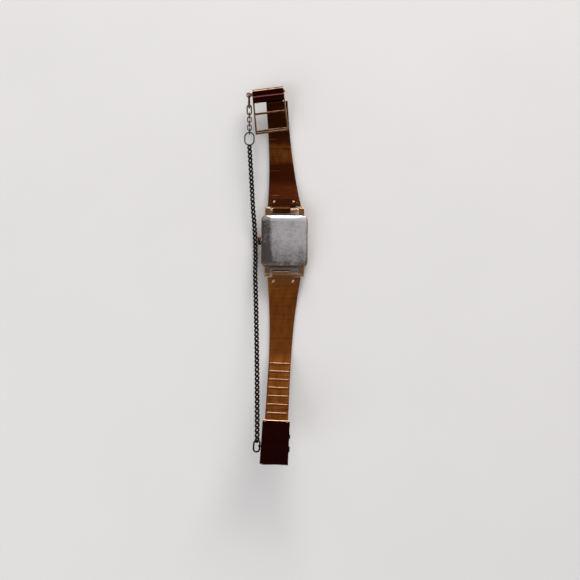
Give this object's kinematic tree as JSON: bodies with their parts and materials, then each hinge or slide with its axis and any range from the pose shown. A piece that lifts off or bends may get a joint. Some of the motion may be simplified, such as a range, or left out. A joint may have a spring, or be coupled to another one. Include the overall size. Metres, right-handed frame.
{
  "type": "quartz watch",
  "caption": "Rectangular wristwatch with a crown, a tapering mesh bracelet, a sliding ladder clasp and a safety chain, lying open on its crystal.",
  "frame": {"origin": "centre of the crystal's front face, on which the watch lies", "axes": "+Z out of the case back, +Y to 12 o'clock along the bracelet, -X to the crown at 3 o'clock"},
  "size_m": [0.0272, 0.1554, 0.0179],
  "materials": {
    "gold_case": "worn satin plating",
    "gold_polished": "polished plating",
    "gold_mesh": "satin mesh",
    "chain_dark": "tarnished",
    "steel_back": "worn brushed",
    "seal": "matte",
    "crystal_glass": "clear",
    "dial_face": "satin",
    "hand_black": "gloss",
    "holder_plastic": "matte",
    "movement_brass": "machined",
    "movement_steel": "ground",
    "magnet": "matte",
    "board": "lacquered",
    "copper_wire": "lacquered"
  },
  "bodies": {
    "watch_head": {"case_middle": "gold_case", "case_back": "steel_back", "back_gasket": "seal", "crystal": "crystal_glass", "crystal_gasket": "seal", "dial_ring": "gold_case", "dial": "dial_face", "hour_markers": "gold_case", "movement_holder": "holder_plastic", "main_plate": "movement_brass", "train_bridge": "movement_steel", "circuit_board": "board", "quartz_resonator": "movement_steel", "coil_winding": "copper_wire", "coil_core": "movement_steel", "stator": "movement_steel", "battery": "movement_steel", "battery_clamp": "movement_steel", "movement_screws": "movement_steel", "pendant_tube": "steel_back", "upper_bar_barrel": "gold_polished", "lower_bar_barrel": "gold_polished", "upper_bar_spring": "movement_steel", "lower_bar_spring": "movement_steel", "chain_middle_run": "chain_dark"},
    "crown_seal": {"crown_gasket": "seal"},
    "winding_stem": {"crown": "gold_case", "stem": "movement_steel"},
    "lever": {"setting_lever": "movement_steel"},
    "minute_shaft": {"cannon_pinion": "movement_steel", "minute_hand": "hand_black"},
    "hour_shaft": {"hour_wheel": "movement_brass", "hour_hand": "hand_black"},
    "minute_wheel_body": {"minute_wheel": "movement_brass"},
    "setting_wheel_body": {"setting_wheel": "movement_steel"},
    "rotor_body": {"rotor": "magnet"},
    "fifth_wheel_body": {"fifth_wheel": "movement_brass"},
    "fourth_wheel_body": {"fourth_wheel": "movement_brass"},
    "third_wheel_body": {"third_wheel": "movement_brass"},
    "center_wheel_body": {"center_wheel": "movement_brass"},
    "upper_left_tip_body": {"upper_left_tip": "movement_steel"},
    "upper_right_tip_body": {"upper_right_tip": "movement_steel"},
    "lower_left_tip_body": {"lower_left_tip": "movement_steel"},
    "lower_right_tip_body": {"lower_right_tip": "movement_steel"},
    "upper_band": {"upper_strap": "gold_mesh", "upper_end_clip": "gold_polished", "strap_end_cap": "gold_polished", "ladder_pin": "gold_polished", "chain_head_links": "gold_polished", "chain_oval_ring": "chain_dark", "chain_upper_run": "chain_dark"},
    "ladder": {"ladder_frame": "gold_polished"},
    "lower_band": {"lower_strap": "gold_mesh", "lower_end_clip": "gold_polished", "chain_lower_run": "chain_dark"},
    "slide_clasp": {"slide_box": "gold_polished", "lid_pin": "movement_steel", "chain_jump_ring": "chain_dark"},
    "clasp_lid": {"slide_lid": "gold_polished", "locking_bar": "movement_steel"}
  },
  "joints": [
    {"name": "upper_strap_hinge", "type": "hinge", "parent": "watch_head", "child": "upper_band", "pos_m": [0, 0.0135, 0.003], "axis": [1, 0, 0], "range_deg": [-5, 75]},
    {"name": "lower_strap_hinge", "type": "hinge", "parent": "watch_head", "child": "lower_band", "pos_m": [0, -0.0135, 0.003], "axis": [-1, 0, 0], "range_deg": [-5, 75]},
    {"name": "ladder_hinge", "type": "hinge", "parent": "upper_band", "child": "ladder", "pos_m": [-0.004, 0.0643, 0.00494], "axis": [-0.9928, -0.116, -0.0289], "range_deg": [-6, 135]},
    {"name": "slide_travel", "type": "slide", "parent": "lower_band", "child": "slide_clasp", "axis": [0.0407, 0.9328, -0.3581], "range_m": [0, 0.02022], "deforming": ["chain_lower_run"]},
    {"name": "lid_hinge", "type": "hinge", "parent": "slide_clasp", "child": "clasp_lid", "pos_m": [-0.00262, -0.07399, 0.00944], "axis": [0.9992, -0.038, 0.0146], "range_deg": [0, 95]},
    {"name": "crown_pull", "type": "slide", "parent": "watch_head", "child": "crown_seal", "axis": [-1, 0, 0], "range_m": [0, 0.0005]},
    {"name": "crown_turn", "type": "hinge", "parent": "crown_seal", "child": "winding_stem", "pos_m": [0, 0, 0.0034], "axis": [-1, 0, 0], "continuous": true},
    {"name": "setting_lever_swing", "type": "hinge", "parent": "watch_head", "child": "lever", "pos_m": [-0.0052, -0.0026, 0.0038], "axis": [0, 0, 1], "range_deg": [0, 11.41]},
    {"name": "minute_turn", "type": "hinge", "parent": "watch_head", "child": "minute_shaft", "pos_m": [0, 0, 0.003], "axis": [0, 0, 1], "continuous": true},
    {"name": "hour_turn", "type": "hinge", "parent": "watch_head", "child": "hour_shaft", "pos_m": [0, 0, 0.003], "axis": [0, 0, 1], "continuous": true},
    {"name": "minute_wheel_turn", "type": "hinge", "parent": "watch_head", "child": "minute_wheel_body", "pos_m": [-0.0014, 0, 0.003], "axis": [0, 0, 1], "continuous": true},
    {"name": "setting_wheel_turn", "type": "hinge", "parent": "watch_head", "child": "setting_wheel_body", "pos_m": [-0.00315, 0, 0.003], "axis": [0, 0, 1], "continuous": true},
    {"name": "rotor_turn", "type": "hinge", "parent": "watch_head", "child": "rotor_body", "pos_m": [-0.00108, 0.00448, 0.003], "axis": [0, 0, 1], "continuous": true},
    {"name": "fifth_wheel_turn", "type": "hinge", "parent": "watch_head", "child": "fifth_wheel_body", "pos_m": [0.00018, 0.00448, 0.003], "axis": [0, 0, 1], "continuous": true},
    {"name": "fourth_wheel_turn", "type": "hinge", "parent": "watch_head", "child": "fourth_wheel_body", "pos_m": [0.00077, 0.00323, 0.003], "axis": [0, 0, 1], "continuous": true},
    {"name": "third_wheel_turn", "type": "hinge", "parent": "watch_head", "child": "third_wheel_body", "pos_m": [0.00077, 0.00164, 0.003], "axis": [0, 0, 1], "continuous": true},
    {"name": "center_wheel_turn", "type": "hinge", "parent": "watch_head", "child": "center_wheel_body", "pos_m": [0, 0, 0.003], "axis": [0, 0, 1], "continuous": true},
    {"name": "upper_left_tip_slide", "type": "slide", "parent": "watch_head", "child": "upper_left_tip_body", "axis": [1, 0, 0], "range_m": [0, 0.0008], "stiffness_N_per_m": 200, "springref_m": -0.001, "deforming": ["upper_bar_spring"]},
    {"name": "upper_right_tip_slide", "type": "slide", "parent": "watch_head", "child": "upper_right_tip_body", "axis": [-1, 0, 0], "range_m": [0, 0.0008], "stiffness_N_per_m": 200, "springref_m": -0.001, "deforming": ["upper_bar_spring"]},
    {"name": "lower_left_tip_slide", "type": "slide", "parent": "watch_head", "child": "lower_left_tip_body", "axis": [1, 0, 0], "range_m": [0, 0.0008], "stiffness_N_per_m": 200, "springref_m": -0.001, "deforming": ["lower_bar_spring"]},
    {"name": "lower_right_tip_slide", "type": "slide", "parent": "watch_head", "child": "lower_right_tip_body", "axis": [-1, 0, 0], "range_m": [0, 0.0008], "stiffness_N_per_m": 200, "springref_m": -0.001, "deforming": ["lower_bar_spring"]}
  ],
  "couplings": [
    {"joint": "setting_lever_swing", "follows": "crown_pull", "rad_per_m": 393.06},
    {"joint": "hour_turn", "follows": "minute_turn", "ratio": 0.083333},
    {"joint": "minute_wheel_turn", "follows": "minute_turn", "ratio": -0.33333},
    {"joint": "setting_wheel_turn", "follows": "minute_turn", "ratio": 0.5},
    {"joint": "fifth_wheel_turn", "follows": "rotor_turn", "ratio": -0.16667},
    {"joint": "fourth_wheel_turn", "follows": "rotor_turn", "ratio": 0.033333},
    {"joint": "third_wheel_turn", "follows": "rotor_turn", "ratio": -0.0041667},
    {"joint": "center_wheel_turn", "follows": "rotor_turn", "ratio": 0.00055556}
  ]
}
